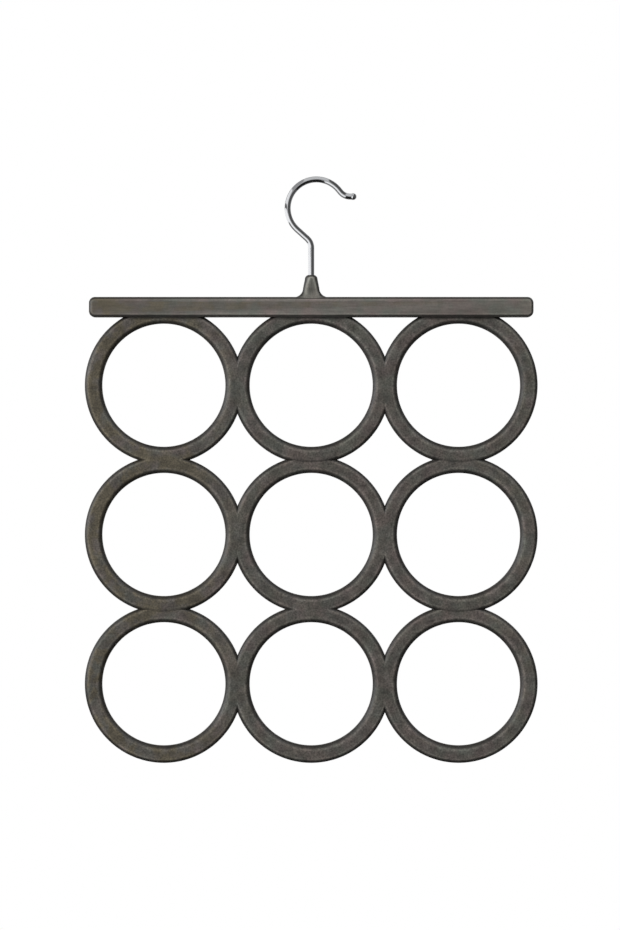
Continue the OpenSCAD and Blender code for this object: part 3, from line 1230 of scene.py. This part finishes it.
@dataclass
class Neck:
    """The neck that the hook's stem turns in, with a skirt over the bar's upper edges."""

    finish: bpy.types.Material
    bar: Bar
    top_w: float = 8.5 * MM
    waist_w: float = 10.9 * MM
    flare: float = 6.0 * MM
    round_top: float = 3.0 * MM
    flare_lip: float = 0.2 * MM
    skirt_rise: float = 5.0 * MM
    hole_r: float = 2.3 * MM
    hole_lip: float = 0.1 * MM
    seat_r: float = 3.1 * MM
    boxy_foot: float = 3.6
    boxy_top: float = 2.1
    olive: float = 0.06
    # Painted light: the nap grows lighter towards the top as a painted highlight, and darker at the
    # foot as painted shade where the neck meets the bar.
    painted_light_lifts: Range = (1.0, 1.45)
    foot_reach: float = 3.2 * MM
    foot_painted_shade: float = 0.36
    sides: int = 96
    skirt_steps: int = 10
    flare_steps: int = 12
    taper_steps: int = 8
    dome_steps: int = 10
    crease_angle: float = 35.0

    def __post_init__(self) -> None:
        """Reads the neck's place and height from the frame."""
        box = NodeBox.of("neck")
        self.foot = Vector((box.middle.x, 0, self.bar.box.high.z))
        self.at_hole = self.round_top - (self.top_w / 2 - self.hole_r)
        risen = math.sqrt(self.round_top**2 - self.at_hole**2)
        self.dome_foot = box.high.z - self.foot.z - risen
        self.height = self.dome_foot + self.round_top
        self.bush_top = NodeBox.of("neck_bush").high.z - self.foot.z

    def half_w(self, t: float) -> float:
        """Returns half the neck's width at height t over the bar."""
        share = clamped((t - self.flare) / (self.dome_foot - self.flare))
        width = self.waist_w + share * (self.top_w - self.waist_w)
        flare = 0.0
        if t < self.flare:
            below = self.flare - max(t, self.flare_lip)
            flare = self.flare - math.sqrt(self.flare**2 - below**2)
        return width / 2 + flare - self.shoulder(t)

    def half_d(self, t: float) -> float:
        """Returns half the neck's depth at height t over the bar."""
        top = self.top_w / 2
        share = clamped((t + self.bar.crown_w) / (self.skirt_rise + self.bar.crown_w))
        skirt = (self.bar.half_d - top) * (1 - math.sin(share * math.pi / 2))
        return top + skirt - self.shoulder(t)

    def tone_with_painted_light_at(self, spot: Vector) -> float:
        """Returns the tone of the nap: painted shade makes it darkest at the neck's foot, and a
        painted highlight lightest at its top.
        """
        foot_lift, top_lift = self.painted_light_lifts
        lift = foot_lift + (top_lift - foot_lift) * clamped(spot.z / self.height) ** 2
        near_foot = fade(abs(spot.z), self.foot_reach)
        return self.bar.drift.at(0, "tone") * lift * (1 - self.foot_painted_shade * near_foot)

    def shoulder(self, t: float) -> float:
        """Returns how far the rounded top has drawn in at height t over the bar."""
        up = t - self.dome_foot
        if up <= 0:
            return 0.0
        return self.round_top - math.sqrt(max(self.round_top**2 - up**2, 0))

    def levels(self) -> list[float]:
        """Lists the heights of the neck's sections, from the skirt's foot to the stem's hole."""
        under = spread(-self.bar.crown_w, 0, self.skirt_steps)[:-1]
        flared = [self.flare * (1 - math.cos(a)) for a in arc(0, 90, self.flare_steps)]
        tapered = spread(self.flare, self.dome_foot, self.taper_steps)[1:]
        last = math.degrees(math.acos(self.at_hole / self.round_top))
        rises = [self.round_top * math.sin(a) for a in arc(0, last, self.dome_steps)[1:]]
        return under + flared + tapered + [self.dome_foot + rise for rise in rises]

    def section(self, t: float) -> list[Point]:
        """Makes the neck's outline at one height, boxy at the foot and round at the top.

        Args:
            t: Height over the bar.

        Returns:
            The points of the outline, from the neck's foot.
        """
        share = clamped(t / self.dome_foot)
        power = 2 / (self.boxy_foot + (self.boxy_top - self.boxy_foot) * share)
        wide, deep = self.half_w(t), self.half_d(t)
        points: list[Point] = []
        for a in full_turn(self.sides):
            x, y = (math.copysign(abs(v) ** power, v) for v in (math.cos(a), math.sin(a)))
            points.append((wide * x, deep * y, t))
        return points

    def circle(self, radius: float, t: float) -> list[Point]:
        """Returns a round section of the stem's hole at height t over the bar."""
        return [(radius * math.cos(a), radius * math.sin(a), t) for a in full_turn(self.sides)]

    def build(self) -> None:
        """Builds the neck as one closed skin, in at the top and out at the foot."""
        levels = self.levels()
        loops = [self.section(t) for t in levels]
        loops.append(self.circle(self.hole_r, levels[-1] - self.hole_lip))
        loops.append(self.circle(self.hole_r, self.bush_top))
        loops.append(self.circle(self.seat_r, self.bush_top))
        loops.append(self.circle(self.seat_r, levels[0]))
        mesh = LoopSkin(loops, joined=True).mesh("neck_nap")
        dress(mesh, self.finish, self.crease_angle)
        mark_spot(mesh, self.foot)
        mark(mesh, "olive", lambda spot: self.olive)
        mark(mesh, "tone", self.tone_with_painted_light_at)
        hand_over(place(mesh, self.foot), HANGER_BODY, NAP_SLOT, "neck")


@dataclass
class Hook:
    """The bent wire: beaded tip, crook, S-bend, straight stem and upset head."""

    finish: bpy.types.Material
    wire_r: float = 2.0 * MM
    crook_r: float = 19.2 * MM
    stem_slope: float = 42.0
    tip_slope: float = 50.0
    bend_r: float = 8.4 * MM
    tip_run: float = 2.1 * MM
    tip_len: float = 0.7 * MM
    bead_r: float = 2.25 * MM
    head_r: float = 3.8 * MM
    head_t: float = 1.6 * MM
    head_fillet: float = 0.3 * MM
    sides: int = 40
    bend_step: float = 2.0
    bead_steps: int = 8
    stem_steps: int = 16
    crease_angle: float = 50.0

    def __post_init__(self) -> None:
        """Works out the path's corners from its sizes and the frame."""
        self.stem_x = NodeBox.of("neck_bush").middle.x
        self.head_foot = NodeBox.of("hook_wire").low.z
        inner_r = self.crook_r - self.wire_r
        slope = math.radians(self.stem_slope)
        tip = math.radians(self.tip_slope)
        self.crook = Vector((0, -inner_r))
        crook_end = self.crook + self.crook_r * Vector((-math.sin(slope), -math.cos(slope)))
        bend_w = self.bend_r * (1 - math.sin(slope))
        run = (self.stem_x - bend_w - crook_end.x) / math.cos(slope)
        self.stem_top = crook_end.y - run * math.sin(slope) - self.bend_r * math.cos(slope)
        tip_start = self.crook + self.crook_r * Vector((math.sin(tip), math.cos(tip)))
        self.tip_centre = (
            tip_start
            + self.tip_run * Vector((math.cos(tip), -math.sin(tip)))
            + self.bend_r * Vector((math.sin(tip), math.cos(tip)))
        )
        self.bead_len = 2 * self.bead_r - self.wire_r / 2
        self.tip_end = self.tip_centre + Vector((self.tip_len + self.bead_len, -self.bend_r))

    def section(self, x: float, z: float, radius: float, heading: float) -> list[Point]:
        """Makes one round section of the wire.

        Args:
            x: Place of its middle along X.
            z: Place of its middle along Z.
            radius: Radius of the wire there.
            heading: Heading of the wire in the XZ plane, in radians above +X.

        Returns:
            The points of the section.
        """
        points: list[Point] = []
        for b in full_turn(self.sides):
            off = radius * math.cos(b)
            y = radius * math.sin(b)
            points.append((x - off * math.sin(heading), y, z + off * math.cos(heading)))
        return points

    def bend(
        self, centre: Vector, radius: float, start: float, end: float, turn: float
    ) -> list[list[Point]]:
        """Makes the sections along one bend.

        Args:
            centre: Centre of the bend, with x and z.
            radius: Radius of the bend, to the middle of the wire.
            start: Direction of its first point from the centre, in degrees.
            end: Direction of its last point, in degrees.
            turn: Turn from that direction to the wire's heading, in degrees.

        Returns:
            The sections.
        """
        steps = math.ceil(abs(end - start) / self.bend_step)
        return [
            self.section(
                centre.x + radius * math.cos(a),
                centre.y + radius * math.sin(a),
                self.wire_r,
                a + math.radians(turn),
            )
            for a in arc(start, end, steps)
        ]

    def bead(self) -> list[list[Point]]:
        """Makes the sections of the bead, from its tip to where the wire begins."""
        loops: list[list[Point]] = []
        for a in arc(0, 90, self.bead_steps)[1:]:
            x = self.tip_end.x - self.bead_r * (1 - math.cos(a))
            loops.append(self.section(x, self.tip_end.y, self.bead_r * math.sin(a), math.pi))
        neck = self.bead_len - self.bead_r
        for share in spread(0, 1, self.bead_steps)[1:]:
            ease = (1 - math.cos(share * math.pi)) / 2
            radius = self.bead_r + (self.wire_r - self.bead_r) * ease
            x = self.tip_end.x - self.bead_r - neck * share
            loops.append(self.section(x, self.tip_end.y, radius, math.pi))
        return loops

    def stem(self) -> list[list[Point]]:
        """Makes the sections of the stem and the head, from under the S-bend downwards."""
        fillet = self.head_fillet
        top = self.head_foot + self.head_t
        heights = spread(self.stem_top, top + fillet, self.stem_steps)[1:]
        profile = [(self.wire_r, z) for z in heights]
        profile += [
            (self.wire_r + fillet, top),
            (self.head_r - fillet, top),
            (self.head_r, top - fillet),
            (self.head_r, self.head_foot + fillet),
            (self.head_r - fillet, self.head_foot),
        ]
        return [self.section(self.stem_x, z, r, -math.pi / 2) for r, z in profile]

    def build(self) -> bpy.types.Object:
        """Builds the hook."""
        loops = self.bead()
        loops += self.bend(self.tip_centre, self.bend_r, 270, 270 - self.tip_slope, -90)
        loops += self.bend(self.crook, self.crook_r, 90 - self.tip_slope, 270 - self.stem_slope, 90)
        stem_centre = Vector((self.stem_x - self.bend_r, self.stem_top))
        loops += self.bend(stem_centre, self.bend_r, 90 - self.stem_slope, 0, -90)
        loops += self.stem()
        mesh = LoopSkin(loops).mesh("hook_wire_chrome")
        dress(mesh, self.finish, self.crease_angle)
        hook = place(mesh, Vector())
        hand_over(hook, FIXED_BODY, "hook_chrome", "hook_wire")
        return hook


@dataclass
class Joinery:
    """The hidden nodes, which keep their own shape and get a material."""

    finishes: dict[str, PlainFinish] = field(
        default_factory=lambda: {
            "neck_bush": PlainFinish("bush_nylon", NYLON, 0.42),
            "thrust_washer": PlainFinish("washer_steel", STEEL, 0.30, metallic=1.0),
            "row_dowels": PlainFinish("row_dowel_plastic", DARK_PLASTIC, 0.50),
            "column_dowels": PlainFinish("column_dowel_plastic", DARK_PLASTIC, 0.50),
            "ring_pins": PlainFinish("pin_steel", STEEL, 0.34, metallic=1.0),
        }
    )

    def build(self) -> None:
        """Gives each hidden node its material."""
        for node, finish in self.finishes.items():
            materials = frame["nodes"][node].data.materials
            materials.clear()
            materials.append(finish.build())
            LOG.info("%s: keeps its shape, finish %s", node, finish.name)


@dataclass(frozen=True)
class Flag:
    """A grey flag round the hook, given by the directions it covers.

    Turn is counted in degrees above +X, and lean in degrees away from the camera's side.
    """

    name: str
    turn: Range
    lean: Range
    shade: float


@dataclass(frozen=True)
class Lamp:
    """A soft area lamp: its place, the side of its square, and its power in watts."""

    name: str
    at: Point
    size: float
    power: float


@dataclass
class Studio:
    """Plain pale floor, soft lamps, flags that chrome reflects, and the camera.

    Attributes:
        chrome: The hook, which only reflects the flags and takes no light from the lamps.
    """

    chrome: bpy.types.Object
    view_h: float = 0.62
    aim: Point = (-0.0043, 0, -0.1884)
    camera_distance: float = 2.3
    sensor: float = 36.0
    floor_z: float = -0.75
    floor_r: float = 1.5
    floor_sides: int = 96
    floor_colour: Colour = (0.82, 0.82, 0.82)
    floor_roughness: float = 0.9
    floor_specular: float = 0.1
    fill: float = 0.16
    flag_r: float = 0.70
    flag_middle: Point = (0, 0, -0.03)
    flag_turn_steps: int = 24
    flag_lean_steps: int = 12
    flags: tuple[Flag, ...] = (
        Flag("flag_right", (-38, 68), (8, 112), 0.085),
        Flag("flag_low", (-110, -38), (4, 125), 0.012),
        Flag("flag_top", (68, 112), (14, 118), 0.58),
        Flag("flag_top_left", (112, 138), (14, 118), 0.31),
        Flag("flag_left_high", (138, 166), (14, 118), 0.88),
        Flag("flag_left_strip", (166, 175), (14, 118), 0.14),
        Flag("flag_left", (175, 250), (14, 66), 1.0),
        Flag("flag_left_side", (175, 203), (66, 118), 1.0),
        Flag("flag_low_left", (203, 250), (66, 118), 0.20),
        Flag("flag_right_rear", (-38, 68), (112, 180), 0.28),
        Flag("flag_low_rear", (-110, -38), (125, 180), 0.28),
        Flag("flag_left_rear", (68, 175), (118, 180), 0.28),
        Flag("flag_left_side_rear", (175, 203), (118, 180), 1.0),
        Flag("flag_low_left_rear", (203, 250), (118, 180), 0.28),
        Flag("flag_camera_right", (-38, 68), (0, 8), 0.40),
        Flag("flag_camera_left", (68, 250), (0, 14), 0.40),
        Flag("flag_camera_low", (-110, -38), (0, 4), 0.40),
    )
    flag_unseen_as: tuple[str, ...] = (
        "visible_camera",
        "visible_diffuse",
        "visible_shadow",
        "visible_transmission",
        "visible_volume_scatter",
    )
    lamps: tuple[Lamp, ...] = (
        Lamp("key_left", (-3.85, -1.60, 0.70), 1.8, 158),
        Lamp("top_right", (2.40, -2.40, 2.80), 1.6, 95),
        Lamp("rear_left", (-2.10, 3.30, 1.60), 1.8, 66),
        Lamp("rear_right", (2.40, 3.10, 1.60), 1.8, 66),
    )

    def __post_init__(self) -> None:
        """Makes the set of pieces that the lamps light, which is all but the chrome."""
        self.lit = bpy.data.collections.new("lit_by_lamps")
        self.lit.objects.link(self.chrome)
        self.lit.collection_objects[0].light_linking.link_state = "EXCLUDE"

    def world(self) -> None:
        """Makes a world that is white to look at, and a soft fill for the object."""
        world = bpy.data.worlds.new("studio")
        bpy.context.scene.world = world
        nodes = NodeTree(world)
        rays = nodes.node("ShaderNodeLightPath").outputs
        seen = nodes.math("ADD", rays["Is Camera Ray"], rays["Is Glossy Ray"])
        seen = nodes.math("ADD", seen, rays["Is Transmission Ray"])
        strength = nodes.ranged(seen, (0, 1), (self.fill, 1))
        light = nodes.feed(nodes.node("ShaderNodeBackground"), Color=(1, 1, 1), Strength=strength)
        nodes.feed(nodes.node("ShaderNodeOutputWorld"), Surface=light.outputs["Background"])

    def floor(self) -> None:
        """Makes the floor, far enough below to stay out of the main view."""
        points = [
            (self.floor_r * math.cos(a), self.floor_r * math.sin(a), self.floor_z)
            for a in full_turn(self.floor_sides)
        ]
        mesh = bpy.data.meshes.new("floor")
        mesh.from_pydata(points, [], [list(range(len(points)))])
        shader = Shader("floor_paper")
        shader.take(
            Base_Color=self.floor_colour,
            Roughness=self.floor_roughness,
            Specular_IOR_Level=self.floor_specular,
        )
        mesh.materials.append(shader.material)
        place(mesh, Vector())

    def flag(self, flag: Flag) -> None:
        """Makes one flag, a patch of a ball round the hook that only gloss shows.

        Args:
            flag: Flag to make.
        """
        points = [
            (
                self.flag_r * math.sin(b) * math.cos(a),
                -self.flag_r * math.cos(b),
                self.flag_r * math.sin(b) * math.sin(a),
            )
            for a in arc(*flag.turn, self.flag_turn_steps)
            for b in arc(*flag.lean, self.flag_lean_steps)
        ]
        count = self.flag_lean_steps + 1
        faces = [
            [i * count + j, i * count + j + 1, (i + 1) * count + j + 1, (i + 1) * count + j]
            for i in range(self.flag_turn_steps)
            for j in range(self.flag_lean_steps)
        ]
        mesh = bpy.data.meshes.new(flag.name)
        mesh.from_pydata(points, [], faces)
        material = bpy.data.materials.new(flag.name)
        nodes = NodeTree(material)
        glow = nodes.feed(nodes.node("ShaderNodeEmission"), (flag.shade, flag.shade, flag.shade))
        nodes.feed(nodes.node("ShaderNodeOutputMaterial"), Surface=glow.outputs["Emission"])
        mesh.materials.append(material)
        piece = place(mesh, Vector(self.flag_middle))
        for sight in self.flag_unseen_as:
            setattr(piece, sight, False)

    def lamp(self, lamp: Lamp) -> None:
        """Adds one lamp, which points at the hanger's middle.

        Args:
            lamp: Lamp to add.
        """
        light = bpy.data.lights.new(lamp.name, "AREA")
        light.shape = "SQUARE"
        light.size = lamp.size
        light.energy = lamp.power
        stand = bpy.data.objects.new(lamp.name, light)
        stand.location = lamp.at
        stand.rotation_mode = "QUATERNION"
        way = Vector(self.aim) - Vector(lamp.at)
        stand.rotation_quaternion = way.to_track_quat("-Z", "Y")
        stand.light_linking.receiver_collection = self.lit
        bpy.context.scene.collection.objects.link(stand)

    def camera(self) -> None:
        """Places the camera straight in front, as far away as the photograph's view needs."""
        data = bpy.data.cameras.new("camera")
        data.sensor_width = self.sensor
        data.lens = self.sensor * self.camera_distance / self.view_h
        camera = bpy.data.objects.new("camera", data)
        camera.location = Vector(self.aim) - Vector((0, self.camera_distance, 0))
        camera.rotation_euler = (math.pi / 2, 0, 0)
        bpy.context.scene.collection.objects.link(camera)
        bpy.context.scene.camera = camera

    def build(self) -> None:
        """Builds the studio."""
        self.world()
        self.floor()
        for flag in self.flags:
            self.flag(flag)
        for lamp in self.lamps:
            self.lamp(lamp)
        self.camera()
        bpy.context.scene.view_settings.view_transform = "Standard"


def main() -> None:
    """Builds the hanger's looks and the studio around the frame."""
    logging.basicConfig(level=logging.INFO, format="%(name)s: %(message)s")
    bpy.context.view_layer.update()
    grid = RingGrid(NapFinish("ring_nap", Brushing.ROUND).build())
    grid.build()
    smooth_nap = NapFinish(
        "bar_nap", Brushing.ALONG, streak_share=0.32, grain_share=0.22, mottle_share=0.26
    )
    bar = Bar(smooth_nap.build(), grid)
    bar.build()
    neck_nap = NapFinish(
        "neck_nap",
        Brushing.UPRIGHT,
        cool=(0.0950, 0.0973, 0.0866),
        warm=(0.1046, 0.0980, 0.0871),
        # The neck's painted edge shade and painted highlight, as factors on its colour.
        edge_shade_and_highlight_stops=(
            (0.00, 0.50),
            (0.35, 0.14),
            (0.62, 0.13),
            (0.80, 0.26),
            (0.90, 1.00),
            (0.96, 1.32),
            (1.00, 0.56),
        ),
        streak_share=0.50,
        grain_share=0.22,
        mottle_share=0.30,
    )
    Neck(neck_nap.build(), bar).build()
    hook = Hook(ChromeFinish().build()).build()
    Joinery().build()
    Studio(hook).build()


if __name__ == "__main__":
    main()
